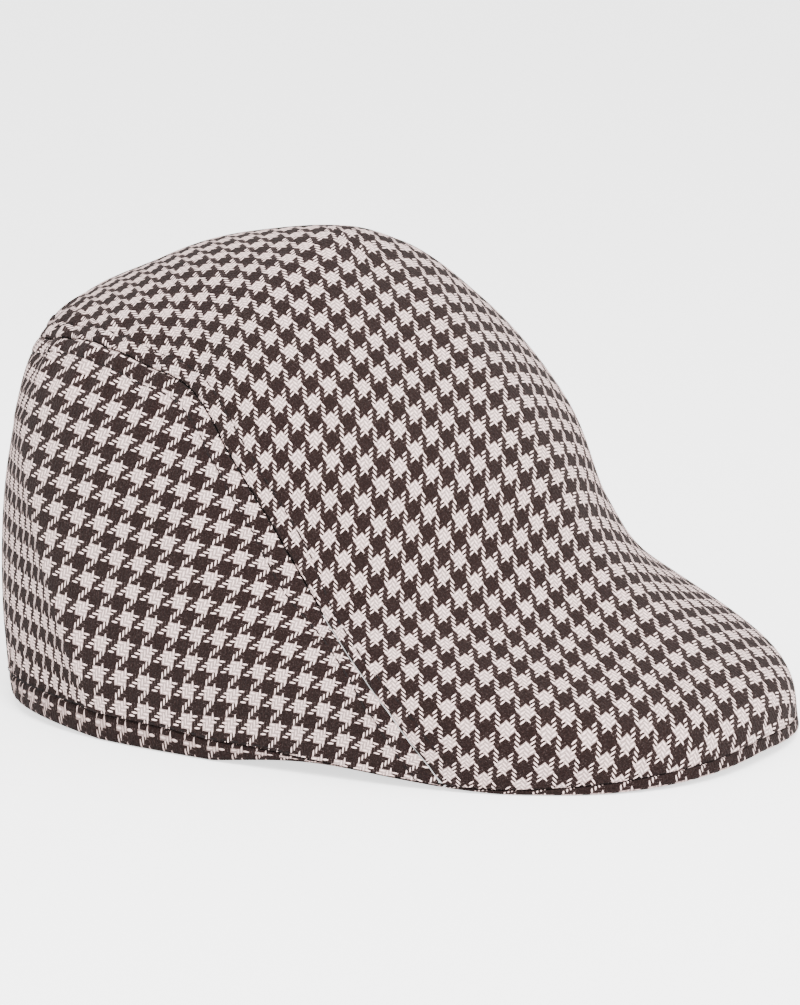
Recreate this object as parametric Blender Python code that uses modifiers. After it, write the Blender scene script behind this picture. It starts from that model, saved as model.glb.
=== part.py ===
"""A soft houndstooth duckbill cap that keeps its form and rests on its own hem.

The cap is five sewn pieces: one long top panel that runs from the back seam over the
crown and down over the peak, two side panels that meet at the back, a covered peak,
and a rolled hem that runs from temple to temple round the back of the head opening.

Lengths are metres. +Z is up, the peak points to -Y and the wearer's right side is -X.
"""

import bmesh
import bpy
import numpy as np

# Driving dimensions
CROWN_HEIGHT = 0.145        # floor to the highest point of the crown
HALF_WIDTH = 0.088          # middle to the widest point of a side
BACK_LENGTH = 0.102          # head centre to the back of the crown
FRONT_LENGTH = 0.147          # head centre to the front edge of the peak
CLOTH = 0.0016              # wall of the tweed
SEAM_GAP = 0.0005           # clearance between two sewn pieces
COVER_GAP = 0.0012          # clearance between the peak and the cloth that covers it
HEM_HEIGHT = 0.0055         # rolled hem, bottom to top
HEM_THICKNESS = 0.0032      # rolled hem, outside to inside
RIM_WAVE = 0.0030           # how far the lower edge rises and falls
PEAK_EDGE = 0.0036          # covered edge of the peak, below the top panel's seam
PEAK_THICKNESS = 0.0030     # covered peak under the top panel
PEAK_LENGTH = 0.046         # peak's front edge to its seam at the forehead
TEMPLE = 42.0               # degrees from the front to the end of the peak
HEM_TAPER = 25.0            # degrees over which the hem narrows to the peak's edge

# Shares of the sizes above
PEAK_NARROWING = 0.6        # how much of the peak's length is gone at the temples
PEAK_ROUNDING = 0.6         # how far under the peak its rounded edge turns
HEM_BULGE = 0.3             # height of the widest line of the hem
HEM_BEVEL = 0.2             # part of the hem's thickness that its rounded edges take

# Mesh fineness
PEAK_COLUMNS = 32           # columns from temple to temple over the peak
BACK_COLUMNS = 48           # columns from temple to temple round the back
PEAK_ROWS = 6               # rows of the top panel over the peak
CROWN_ROWS = 12             # rows of the top panel above them
SIDE_COLUMNS = 28
SIDE_ROWS = 10
MERIDIAN_STEPS = 240        # steps in which a meridian's length is measured
SLOPE_STEP = 1e-3           # step in angle and level over which a slope is read
TINY = 1e-6                 # least length that is divided by

# Rings of the cap from its lower edge (level 0) to the top of the crown (level 1).
# front: share of FRONT_LENGTH. back and shift: shares of BACK_LENGTH, where shift moves
# the ring backwards. width: share of HALF_WIDTH. The three heights: shares of
# CROWN_HEIGHT. The two squares: 2 is an ellipse, more is boxier, less is more pointed.
# Columns: level, front, back, width, shift, front height, side height, back height,
# front square, back square.
RINGS = (
    (0.00, 1.000, 0.925, 0.970, 0.00, 0.020, 0.000, 0.000, 2.50, 2.9),
    (0.12, 0.950, 0.990, 1.000, 0.00, 0.125, 0.200, 0.180, 2.50, 2.6),
    (0.25, 0.755, 1.000, 0.985, 0.02, 0.265, 0.350, 0.400, 1.80, 2.4),
    (0.40, 0.605, 0.965, 0.965, 0.00, 0.380, 0.480, 0.600, 1.70, 2.5),
    (0.60, 0.487, 0.865, 0.870, 0.00, 0.575, 0.665, 0.800, 1.80, 2.5),
    (0.80, 0.327, 0.600, 0.635, 0.01, 0.785, 0.843, 0.905, 1.62, 2.4),
    (0.92, 0.155, 0.325, 0.325, 0.02, 0.925, 0.955, 0.970, 1.75, 2.1),
    (1.00, 0.000, 0.000, 0.000, 0.01, 1.000, 1.000, 1.000, 2.00, 2.0),
)

# Wave of the lower edge. Columns: degrees from the front, share of RIM_WAVE that the
# edge rises. It dies out at WAVE_TOP, a level of the rings.
WAVE =((0, 0.0), (32, -0.8), (60, 1.1), (92, -0.4), (130, 0.7), (180, 0.0))
WAVE_TOP = 0.15

# Seam between the top panel and a side panel. Columns: degrees from the front, level.
SEAM =((TEMPLE, 0.0), (50, 0.11), (60, 0.26), (75, 0.48), (90, 0.65), (110, 0.70),
        (130, 0.69), (155, 0.58), (180, 0.60))


def past_the_top(rings):
    """The rings with the last one before the top repeated beyond it, upside down.

    It makes the crown round at its top, where the radius passes through nothing.
    """
    level, front, back, width, *rest = rings[-2]
    return (*rings, (2.0 - level, -front, -back, -width, *rest))


def smooth(table, x):
    """Read a table as a smooth curve: its first column is x, the others are values."""
    knots = np.array(table, dtype=float)
    at = knots[:, 0]
    x = np.clip(np.asarray(x, dtype=float), at[0], at[-1])
    span = np.clip(np.searchsorted(at, x, side="right") - 1, 0, len(at) - 2)
    width = at[span + 1] - at[span]
    t = (x - at[span]) / width
    values = []
    for column in knots[:, 1:].T:
        slope = np.gradient(column, at)
        values.append(column[span] * (2 * t**3 - 3 * t**2 + 1)
                      + width * slope[span] * (t**3 - 2 * t**2 + t)
                      + column[span + 1] * (3 * t**2 - 2 * t**3)
                      + width * slope[span + 1] * (t**3 - t**2))
    return values


def from_front(angle):
    """Degrees from the front to either side, 0 to 180."""
    return np.abs((np.degrees(angle) + 180.0) % 360.0 - 180.0)


def cap_point(angle, level, floor=0.0):
    """Point of the cap's outer face. The angle runs from the front to the right side."""
    rings = smooth(past_the_top(RINGS), level)
    front, back, width, shift, front_z, side_z, back_z, front_sq, back_sq = rings
    ahead = np.cos(angle)
    aside = np.sin(angle)
    is_front = ahead > 0
    reach = np.where(is_front, front * FRONT_LENGTH, back * BACK_LENGTH)
    power = np.where(is_front, front_sq, back_sq)
    reach = np.maximum(reach, TINY)
    half = np.maximum(width * HALF_WIDTH, TINY)
    radius = (np.abs(ahead / reach) ** power + np.abs(aside / half) ** power) ** (-1.0 / power)
    end_z = np.where(is_front, front_z, back_z)
    height = CROWN_HEIGHT * (side_z + (end_z - side_z) * ahead**2)
    wave = smooth(WAVE, from_front(angle))[0] * RIM_WAVE
    height = height + wave * np.clip(1.0 - level / WAVE_TOP, 0.0, 1.0) ** 2
    return np.stack([-radius * aside, shift * BACK_LENGTH - radius * ahead,
                     np.maximum(height, floor)], axis=-1)


def cap_normal(angle, level):
    """Direction that faces straight out of the cap there."""
    step = SLOPE_STEP
    inside = np.clip(level, 2 * step, 1.0 - 2 * step)
    free = -CROWN_HEIGHT
    along = cap_point(angle + step, inside, free) - cap_point(angle - step, inside, free)
    upward = cap_point(angle, inside + step, free) - cap_point(angle, inside - step, free)
    normal = np.cross(upward, along)
    return normal / np.linalg.norm(normal, axis=-1, keepdims=True)


class Meridian:
    """One line of the cap from the lower edge to the top, measured along the cloth."""

    def __init__(self, angle):
        self.angle = angle
        self.levels = np.linspace(0.0, 1.0, MERIDIAN_STEPS + 1)
        points = cap_point(np.full_like(self.levels, angle), self.levels)
        steps = np.linalg.norm(np.diff(points, axis=0), axis=1)
        self.lengths = np.concatenate([[0.0], np.cumsum(steps)])

    def level_at(self, length):
        return np.interp(length, self.lengths, self.levels)

    def length_at(self, level):
        return np.interp(level, self.levels, self.lengths)

    def point(self, length, depth=0.0):
        """Point at a length up from the lower edge and a depth in from the outer face."""
        level = self.level_at(length)
        angle = np.full_like(np.asarray(level, dtype=float), self.angle)
        return cap_point(angle, level) - np.expand_dims(depth, -1) * cap_normal(angle, level)


def hem_top(degrees):
    """Height of the hem along the cloth: it narrows to the peak's edge at the temple."""
    return float(np.interp(degrees, (TEMPLE, TEMPLE + HEM_TAPER), (PEAK_EDGE, HEM_HEIGHT)))


def seam_length(meridian):
    """Length from the lower edge up to the seam between the top and side panels."""
    degrees = float(from_front(meridian.angle))
    if degrees <= TEMPLE:
        return 0.0
    return float(meridian.length_at(smooth(SEAM, degrees)[0]))


def seam_clearance(meridian):
    """Half the seam gap, measured up the meridian, where the seam may run aslant."""
    degrees = float(from_front(meridian.angle))
    if degrees <= TEMPLE + 1.0 or degrees >= 179.0:
        return SEAM_GAP
    step = np.radians(0.5)
    ends = [Meridian(meridian.angle - step), Meridian(meridian.angle + step)]
    lengths = [seam_length(end) for end in ends]
    points = [end.point(length) for end, length in zip(ends, lengths)]
    sideways = max(np.linalg.norm((points[1] - points[0])[:2]), TINY)
    return 0.5 * SEAM_GAP * np.hypot(1.0, (lengths[1] - lengths[0]) / sideways)


def make_object(name, build, collection, colour, roughness):
    """New mesh object from a bmesh that the build function fills."""
    mesh = bpy.data.meshes.new(name)
    shape = bmesh.new()
    build(shape)
    shape.to_mesh(mesh)
    shape.free()
    mesh.shade_smooth()
    piece = bpy.data.objects.new(name, mesh)
    collection.objects.link(piece)
    material = bpy.data.materials.new(name)
    material.use_nodes = True
    shader = material.node_tree.nodes["Principled BSDF"]
    shader.inputs["Base Color"].default_value = (*colour, 1.0)
    shader.inputs["Roughness"].default_value = roughness
    shader.inputs["Metallic"].default_value = 0.0
    mesh.materials.append(material)
    return piece


def add_grid(shape, rows, ring=False):
    """Quads through rows of points. Each row holds the same number of points."""
    verts = [[shape.verts.new(point) for point in row] for row in rows]
    for low, high in zip(verts[:-1], verts[1:]):
        count = len(low) if ring else len(low) - 1
        for i in range(count):
            j = (i + 1) % len(low)
            shape.faces.new((low[i], high[i], high[j], low[j]))
    return verts


def add_cloth(piece):
    """Give an open panel its wall, inwards from the outer face."""
    wall = piece.modifiers.new("cloth", "SOLIDIFY")
    wall.thickness = CLOTH
    wall.offset = -1.0
    wall.use_rim = True


def peak_angles():
    """Columns of the peak, from the left temple over the front to the right one."""
    end = np.radians(TEMPLE)
    return np.linspace(-end, end, PEAK_COLUMNS + 1)


def back_angles():
    """Columns from the right temple round the back to the left one."""
    end = np.radians(TEMPLE)
    return np.linspace(end, 2 * np.pi - end, BACK_COLUMNS + 1)


def peak_reach(angle):
    """Length of the peak along the cloth: a crescent that narrows to the temples."""
    share = np.clip(from_front(angle) / TEMPLE, 0.0, 1.0)
    return float(PEAK_LENGTH * (1.0 - PEAK_NARROWING * share**2))


def make_top_panel(collection, move):
    """Crown and the cover of the peak, in one piece, up to a single top point."""
    angles = np.concatenate([peak_angles()[:-1], back_angles()[:-1]])

    def build(shape):
        columns = []
        for angle in angles:
            line = Meridian(angle)
            edge = hem_top(float(from_front(angle))) + 0.5 * SEAM_GAP
            start = max(seam_length(line) + seam_clearance(line), edge)
            turn = start + peak_reach(angle) - PEAK_EDGE
            apron = np.linspace(start, turn, PEAK_ROWS)
            crown = np.linspace(turn, line.lengths[-1], CROWN_ROWS + 1)
            spots = np.concatenate([apron, crown[1:-1]])
            columns.append(line.point(spots) + move)
        rows = np.swapaxes(np.array(columns), 0, 1)
        verts = add_grid(shape, rows, ring=True)
        top = shape.verts.new(cap_point(0.0, 1.0) + move)
        last = verts[-1]
        for i in range(len(last)):
            shape.faces.new((last[i], top, last[(i + 1) % len(last)]))

    piece = make_object("top_panel", build, collection, (0.34, 0.29, 0.28), 0.95)
    add_cloth(piece)
    return piece


def side_start():
    """First angle at which the seam has risen clear of the hem."""
    for degrees in np.arange(TEMPLE, 120.0, 0.25):
        line = Meridian(np.radians(degrees))
        room = seam_length(line) - seam_clearance(line) - hem_top(degrees) - SEAM_GAP
        if room > SEAM_GAP:
            return degrees
    raise ValueError("the side seam never rises above the hem")


def make_side_panel(name, side, collection, move):
    """Side of the crown, from the temple to the back seam. side is 1 for the right."""
    back_line = np.pi - 0.5 * SEAM_GAP / BACK_LENGTH
    angles = side * np.linspace(np.radians(side_start()), back_line, SIDE_COLUMNS + 1)

    def build(shape):
        columns = []
        for angle in angles:
            line = Meridian(angle)
            low = hem_top(float(from_front(angle))) + 0.5 * SEAM_GAP
            high = seam_length(line) - seam_clearance(line)
            spots = np.linspace(low, high, SIDE_ROWS + 1)
            columns.append(line.point(spots) + move)
        rows = np.swapaxes(np.array(columns), 0, 1)
        add_grid(shape, rows if side > 0 else rows[:, ::-1])

    piece = make_object(name, build, collection, (0.33, 0.28, 0.27), 0.95)
    add_cloth(piece)
    return piece


def inward(line):
    """Level direction from the lower edge of the cap to its inside."""
    step = SLOPE_STEP
    x, y, _ = cap_point(line.angle + step, 0.0) - cap_point(line.angle - step, 0.0)
    return np.array([y, -x, 0.0]) / np.hypot(x, y)


def add_tube(shape, sections):
    """Closed solid through sections that are closed loops, with flat ends."""
    verts = add_grid(shape, [loop[::-1] for loop in sections], ring=True)
    shape.faces.new(verts[0])
    shape.faces.new(verts[-1][::-1])


def make_peak(collection, move):
    """Covered peak: a stiff crescent under the top panel, with its edge in the open."""
    angles = peak_angles()
    angles[[0, -1]] *= 1.0 - SEAM_GAP / (HALF_WIDTH * abs(angles[0]))
    upper_depth = CLOTH + COVER_GAP
    lower_depth = upper_depth + PEAK_THICKNESS

    def section(angle):
        line = Meridian(angle)
        seam = PEAK_EDGE - 0.5 * SEAM_GAP
        spots = np.linspace(seam, peak_reach(angle), PEAK_ROWS)
        lip = line.point(np.array([0.0, 0.0, seam]))
        lip[0] += inward(line) * PEAK_THICKNESS * PEAK_ROUNDING
        top = line.point(spots, np.full_like(spots, upper_depth))
        under = line.point(spots[::-1], np.full_like(spots, lower_depth))
        return np.concatenate([lip, top, under]) + move

    def build(shape):
        add_tube(shape, [section(angle) for angle in angles])

    return make_object("peak", build, collection, (0.30, 0.25, 0.24), 0.95)


def make_hem_band(collection, move):
    """Rolled hem round the back of the head opening, flat where it rests."""
    angles = back_angles()
    angles[0] += SEAM_GAP / HALF_WIDTH
    angles[-1] -= SEAM_GAP / HALF_WIDTH
    bevel = HEM_BEVEL * HEM_THICKNESS

    def section(angle):
        line = Meridian(angle)
        top = hem_top(float(from_front(angle))) - 0.5 * SEAM_GAP
        low, mid, high = line.point(np.array([0.0, HEM_BULGE * top, top]))
        into = inward(line)
        return np.array([
            low + into * (HEM_THICKNESS - bevel),
            low + into * bevel,
            mid,
            high,
            high + into * (HEM_THICKNESS - bevel),
            mid + into * HEM_THICKNESS,
        ]) + move

    def build(shape):
        add_tube(shape, [section(angle) for angle in angles])

    return make_object("hem_band", build, collection, (0.22, 0.18, 0.17), 0.95)


def centring():
    """Move that puts the middle of the cap's length over the origin."""
    angles, levels = np.meshgrid(np.linspace(-np.pi, np.pi, 181), np.linspace(0.0, 1.0, 101))
    y = cap_point(angles, levels)[..., 1]
    return np.array([0.0, -0.5 * (y.min() + y.max()), 0.0])


def main():
    for thing in list(bpy.data.objects):
        bpy.data.objects.remove(thing, do_unlink=True)
    collection = bpy.data.collections.new("tweed_hat")
    bpy.context.scene.collection.children.link(collection)
    move = centring()
    make_top_panel(collection, move)
    make_side_panel("side_panel_right", 1.0, collection, move)
    make_side_panel("side_panel_left", -1.0, collection, move)
    make_peak(collection, move)
    make_hem_band(collection, move)


main()
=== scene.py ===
"""Looks of a soft houndstooth duckbill cap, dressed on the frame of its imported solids.

Lengths are metres. +Z is up, the peak points to -Y and the wearer's right side is -X.
Every cloth piece has a UV map "grain": its flat cut in metres, with the warp along V,
so the weave follows the cut of the cloth.
"""

import bpy
import numpy as np
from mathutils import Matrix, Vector
from mathutils.kdtree import KDTree


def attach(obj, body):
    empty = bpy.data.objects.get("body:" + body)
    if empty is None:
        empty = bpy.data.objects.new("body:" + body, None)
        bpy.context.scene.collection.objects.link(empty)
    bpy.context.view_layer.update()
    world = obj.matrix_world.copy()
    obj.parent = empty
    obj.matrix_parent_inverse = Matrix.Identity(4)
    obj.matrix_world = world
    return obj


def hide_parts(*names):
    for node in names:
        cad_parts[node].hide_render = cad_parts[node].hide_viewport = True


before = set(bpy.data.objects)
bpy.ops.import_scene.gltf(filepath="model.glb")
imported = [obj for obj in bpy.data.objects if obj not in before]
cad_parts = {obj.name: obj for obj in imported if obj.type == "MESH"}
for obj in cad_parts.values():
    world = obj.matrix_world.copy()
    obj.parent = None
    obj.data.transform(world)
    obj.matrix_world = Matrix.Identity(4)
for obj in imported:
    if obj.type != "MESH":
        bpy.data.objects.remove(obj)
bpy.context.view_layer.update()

# Driving dimensions, those of the solids
CROWN_HEIGHT = 0.145        # floor to the highest point of the crown
HALF_WIDTH = 0.088          # middle to the widest point of a side
BACK_LENGTH = 0.102         # head centre to the back of the crown
FRONT_LENGTH = 0.147        # head centre to the front edge of the peak
RIM_WAVE = 0.0030           # how far the lower edge rises and falls
HEM_THICKNESS = 0.0032      # rolled hem, outside to inside
PEAK_THICKNESS = 0.0030     # covered peak under the top panel
PEAK_LENGTH = 0.046         # peak's front edge to its seam at the forehead
PEAK_NARROWING = 0.6        # how much of that length is gone at the temples
TEMPLE = 42.0               # degrees from the front to the end of the peak

# Finish of the cloth
CLOTH = 0.0010              # wall of the visible cloth
SEAM_GAP = 0.0003           # clearance between two sewn pieces
SEAM_CLEAR = 0.0010         # distance past a seam at which the next thing starts
COVER_GAP = 0.0016          # clearance between the cloth of the top panel and the peak
ROLL = 0.0011               # radius with which a sewn edge turns in
WELT = 0.0004               # rise of the doubled cloth between a seam and its topstitch
WELT_HALF = 0.45            # half of its width, as a share of the way to the topstitch
CHANNEL = 0.00045           # depth to which a topstitch pulls the cloth
CHANNEL_WIDTH = 0.0011
TOP_STITCH_AWAY = 0.0050    # seam to the topstitch on the top panel
SIDE_STITCH_AWAY = 0.0056   # seam to the topstitch on a side panel
PUCKER = 0.00050            # height of the ripples that sewing leaves along a seam
PUCKER_LENGTH = 0.017       # one ripple
PUCKER_SECOND = (0.6, 0.63, 1.0)    # second ripple: share of height and length, phase
SEAM_ONSET = 4.0            # degrees past the temple at which the sewing shows in full
PUCKER_FADE = 0.010         # distance from the seam at which the ripples have faded
STITCH_PITCH = 0.0036       # one topstitch and the gap after it
STITCH_LENGTH = 0.0031
STITCH_THREAD = 0.00042     # diameter of the sewing thread
STITCH_SUNK = -0.75         # height of a stitch's ends over the cloth, in diameters
STITCH_RAISED = 1.15        # the same of the middle of its arc
STITCH_FACETS = 6           # steps round the thread and along a stitch
STITCH_TILT = (0.02, 0.02, 0.07)    # most that a stitch tilts at random
STITCH_SEED = 7
SEW_START = 1.5             # degrees from the temple to the first stitch of the crown
SIDE_SEW_START = 2.0        # and to that of a side
SIDE_SEW_END = 179.4        # degrees from the front of a side's last stitch
HEM_SEWN = (66.0, 294.0)    # degrees from the front of the hem's first and last stitch
SEW_POINTS = 900            # points of a path of stitches all round
SIDE_SEW_POINTS = 600
HEM_STITCH_RISE = 0.0007    # hem's groove up to its line of stitches
THREAD_PITCH = 0.001025     # one yarn of the tweed to the next
PEAK_TUCK = 0.0014          # depth of the fold in which the peak's cover is sewn
PEAK_LIP = 0.0016           # radius of the peak's lower edge
PEAK_FACE = (1.0, 0.8, 0.6, 0.4)    # shares of its height at which its face has vertices
PEAK_FOOT = 0.35            # share at which the face turns under
PEAK_LOOPS = 14             # vertices from the edge to the seam at the forehead
HEM_SQUARE = 0.62           # 1 is a round hem, less is boxier
GATHER_START = 118.0        # degrees from the front at which the back starts to gather
GATHER_ONSET = 20.0         # degrees over which the hem's ribs grow to their full height
HEM_RIB = 0.12              # height of the hem's ribs, as a share of half its thickness
RIB_PITCH = 0.0052          # one rib of the gathered hem

# How sewing and blocking pull each cloth off its plain flat cut. The middle and the half
# size of the cut give each vertex its place across and along, and each row then gives the
# powers of that place and the pull across and along in metres. Rows of the top cloth whose
# powers add to more than one are mirrored at its middle.
TOP_MIDDLE, TOP_HALF = (0.0, -0.1230), (0.0656, 0.0984)
TOP_PULL = (
    (0, 0, 0.00049, 0.00364), (1, 0, -0.01586, -0.00367), (0, 1, 0.01129, 0.00573),
    (2, 0, 0.03080, -0.01461), (1, 1, -0.00318, 0.00000), (0, 2, 0.00000, -0.00562),
    (3, 0, -0.02060, 0.01078), (2, 1, 0.00158, -0.01222), (1, 2, 0.00389, 0.00000),
    (0, 3, 0.00000, -0.00111), (4, 0, 0.00611, -0.00336), (3, 1, -0.00029, 0.00845),
    (2, 2, -0.00231, 0.00526), (1, 3, -0.00159, 0.00000), (0, 4, 0.00000, 0.00117),
)
SIDE_MIDDLE, SIDE_HALF = (-0.0820, 0.0410), (0.0738, 0.0492)
SIDE_PULL = (
    (0, 0, 0.00015, 0.00078), (1, 0, 0.00621, 0.00002), (0, 1, -0.00652, 0.00257),
    (2, 0, 0.01301, -0.00217), (1, 1, 0.00786, 0.01317), (0, 2, 0.00074, 0.00337),
    (3, 0, 0.00051, 0.00242), (2, 1, 0.00897, 0.00804), (1, 2, 0.00403, 0.00371),
    (0, 3, 0.00335, -0.00163), (4, 0, -0.00141, 0.00125), (3, 1, 0.00224, 0.00130),
    (2, 2, 0.00147, 0.00145), (1, 3, 0.00060, -0.00213), (0, 4, 0.00079, -0.00061),
)
PEAK_CUT = 0.0              # place across the cloth of the peak's seam
HEM_CUT = 0.0067            # place across the cloth of the middle of the hem's face
HEM_CUT_START = 0.0015      # place along it of the hem's first end
HEM_DRAWN = 0.85            # share of its width to which the hem's cloth is drawn out
SQUEEZE = 1.3               # extra cloth gathered into each metre at the corner fold
SQUEEZE_START = 0.004       # distance behind the fold over which the gathering sets in
SQUEEZE_FADE = 0.030        # distance behind it over which it lets go again
BACK_GAP = 0.00004          # clearance in the seam up the back
BACK_GROOVE = 0.0006        # depth to which that seam pulls the cloth
BACK_GROOVE_WIDTH = 0.0013

# Soft fold up a back corner, where the gathered back meets the side. Columns: length up
# from the lower edge, degrees from the front.
FOLD = ((0.0, 109.0), (0.025, 115.5), (0.055, 125.0), (0.085, 137.0))
FOLD_DEPTH = 0.0022
FOLD_WIDTH = 0.013          # fold line to the deepest place behind it
FOLD_CREST = 0.45           # height of the crest before the fold, as a share of its depth
FOLD_TOP = 0.085            # length up from the lower edge at which the fold has faded
FOLD_FOOT = 0.016           # length below which the hem holds the fold flat
FOLD_RADIUS = 0.085         # turns degrees from the fold into a distance
GATHER = 0.00035            # height of the ribs of the gathered back
GATHER_TOP = 0.030          # length up from the lower edge at which the ribs have faded

# Mesh fineness
TOP_COLUMNS = 360
SIDE_COLUMNS = 190
SIDE_ROWS = 48
CROWN_ROWS = 86
PEAK_COLUMNS = 120
HEM_COLUMNS = 420
HEM_SECTION = 20
MERIDIAN_STEPS = 320        # steps in which a meridian's length is measured
SEAM_POINTS = 2401          # points at which the seams are measured
CUT_STEP = 5                # one row of the mesh in so many is unwrapped
SLOPE_STEP = 1e-3           # step in angle and level over which a slope is read
TINY = 1e-6                 # least length that is divided by

# Rings of the cap from its lower edge (level 0) to the top of the crown (level 1).
# front: share of FRONT_LENGTH. back and shift: shares of BACK_LENGTH, where shift moves
# the ring backwards. width: share of HALF_WIDTH. The three heights: shares of
# CROWN_HEIGHT. The two squares: 2 is an ellipse, more is boxier, less is more pointed.
# Columns: level, front, back, width, shift, front height, side height, back height,
# front square, back square.
RINGS = (
    (0.00, 1.000, 0.925, 0.970, 0.00, 0.020, 0.000, 0.000, 2.50, 2.9),
    (0.12, 0.950, 0.990, 1.000, 0.00, 0.125, 0.200, 0.180, 2.50, 2.6),
    (0.25, 0.755, 1.000, 0.985, 0.02, 0.265, 0.350, 0.400, 1.80, 2.4),
    (0.40, 0.605, 0.965, 0.965, 0.00, 0.380, 0.480, 0.600, 1.70, 2.5),
    (0.60, 0.487, 0.865, 0.870, 0.00, 0.575, 0.665, 0.800, 1.80, 2.5),
    (0.80, 0.327, 0.600, 0.635, 0.01, 0.785, 0.843, 0.905, 1.62, 2.4),
    (0.92, 0.155, 0.325, 0.325, 0.02, 0.925, 0.955, 0.970, 1.75, 2.1),
    (1.00, 0.000, 0.000, 0.000, 0.01, 1.000, 1.000, 1.000, 2.00, 2.0),
)

# Wave of the lower edge. Columns: degrees from the front, share of RIM_WAVE that the
# edge rises. It dies out at WAVE_TOP, a level of the rings.
WAVE = ((0, 0.0), (32, -0.8), (60, 1.1), (92, -0.4), (130, 0.7), (180, 0.0))
WAVE_TOP = 0.15

# Seam between the top panel and a side panel. Columns: degrees from the front, level.
SEAM = ((TEMPLE, 0.0), (50, 0.11), (60, 0.26), (75, 0.48), (90, 0.65), (110, 0.70),
        (130, 0.69), (155, 0.58), (180, 0.60))

# Height of the band that shows under the panels: the edge of the peak, then the hem.
# Columns: degrees from the front, height.
BAND = ((0, 0.0038), (20, 0.0034), (34, 0.0012), (62, 0.0012), (76, 0.0050), (180, 0.0055))

# Distances from a sewn edge at which rows of the mesh lie. On a low side panel, the rows
# near its top take up to UPPER_SHARE of its height, and those near its foot LOWER_SHARE.
EDGE_ROWS = (0.0, 0.0003, 0.0007, 0.0011, 0.0016, 0.0023, 0.0031, 0.0039, 0.0045, 0.0050,
             0.0054, 0.0058, 0.0063, 0.0070, 0.0080, 0.0093, 0.0108)
UPPER_SHARE = 0.8
LOWER_SHARE = 0.4


class Curve:
    """Smooth curve through rows of values, real or complex, at rising places."""

    def __init__(self, at, values):
        self.at = np.asarray(at, dtype=float)
        self.values = np.asarray(values)
        self.slopes = np.gradient(self.values, self.at, axis=0)

    def __call__(self, x):
        """One array of the shape of x for each column of values."""
        x = np.clip(np.asarray(x, dtype=float), self.at[0], self.at[-1])
        span = np.clip(np.searchsorted(self.at, x, side="right") - 1, 0, len(self.at) - 2)
        width = (self.at[span + 1] - self.at[span])[..., None]
        t = (x - self.at[span])[..., None] / width
        found = (self.values[span] * (2 * t**3 - 3 * t**2 + 1)
                 + width * self.slopes[span] * (t**3 - 2 * t**2 + t)
                 + self.values[span + 1] * (3 * t**2 - 2 * t**3)
                 + width * self.slopes[span + 1] * (t**3 - t**2))
        return np.moveaxis(found, -1, 0)


def curve_of(table):
    """The curve of a table whose first column is where the others hold."""
    knots = np.array(table, dtype=float)
    return Curve(knots[:, 0], knots[:, 1:])


def past_the_top(rings):
    """The rings with the last one before the top repeated beyond it, upside down.

    It makes the crown round at its top, where the radius passes through nothing.
    """
    level, front, back, width, *rest = rings[-2]
    return (*rings, (2.0 - level, -front, -back, -width, *rest))


RING_CURVE = curve_of(past_the_top(RINGS))
WAVE_CURVE = curve_of(WAVE)
SEAM_CURVE = curve_of(SEAM)
BAND_CURVE = curve_of(BAND)
FOLD_CURVE = curve_of(FOLD)


def from_front(angle):
    """Degrees from the front to either side, 0 to 180."""
    return np.abs((np.degrees(angle) + 180.0) % 360.0 - 180.0)


def cap_point(angle, level, floor=0.0):
    """Point of the cap's outer face. The angle runs from the front to the right side."""
    rings = RING_CURVE(level)
    front, back, width, shift, front_z, side_z, back_z, front_sq, back_sq = rings
    ahead = np.cos(angle)
    aside = np.sin(angle)
    is_front = ahead > 0
    reach = np.where(is_front, front * FRONT_LENGTH, back * BACK_LENGTH)
    power = np.where(is_front, front_sq, back_sq)
    reach = np.maximum(reach, TINY)
    half = np.maximum(width * HALF_WIDTH, TINY)
    radius = (np.abs(ahead / reach) ** power + np.abs(aside / half) ** power) ** (-1.0 / power)
    end_z = np.where(is_front, front_z, back_z)
    height = CROWN_HEIGHT * (side_z + (end_z - side_z) * ahead**2)
    wave = WAVE_CURVE(from_front(angle))[0] * RIM_WAVE
    height = height + wave * np.clip(1.0 - level / WAVE_TOP, 0.0, 1.0) ** 2
    return np.stack([-radius * aside, shift * BACK_LENGTH - radius * ahead,
                     np.maximum(height, floor)], axis=-1)


def cap_normal(angle, level):
    """Direction that faces straight out of the cap there."""
    step = SLOPE_STEP
    inside = np.clip(level, 2 * step, 1.0 - 2 * step)
    free = -CROWN_HEIGHT
    along = cap_point(angle + step, inside, free) - cap_point(angle - step, inside, free)
    upward = cap_point(angle, inside + step, free) - cap_point(angle, inside - step, free)
    normal = np.cross(upward, along)
    return normal / np.linalg.norm(normal, axis=-1, keepdims=True)


def centring():
    """Move that puts the middle of the cap's length over the origin."""
    angles, levels = np.meshgrid(np.linspace(-np.pi, np.pi, 181), np.linspace(0.0, 1.0, 101))
    y = cap_point(angles, levels)[..., 1]
    return np.array([0.0, -0.5 * (y.min() + y.max()), 0.0])


MOVE = centring()


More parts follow.
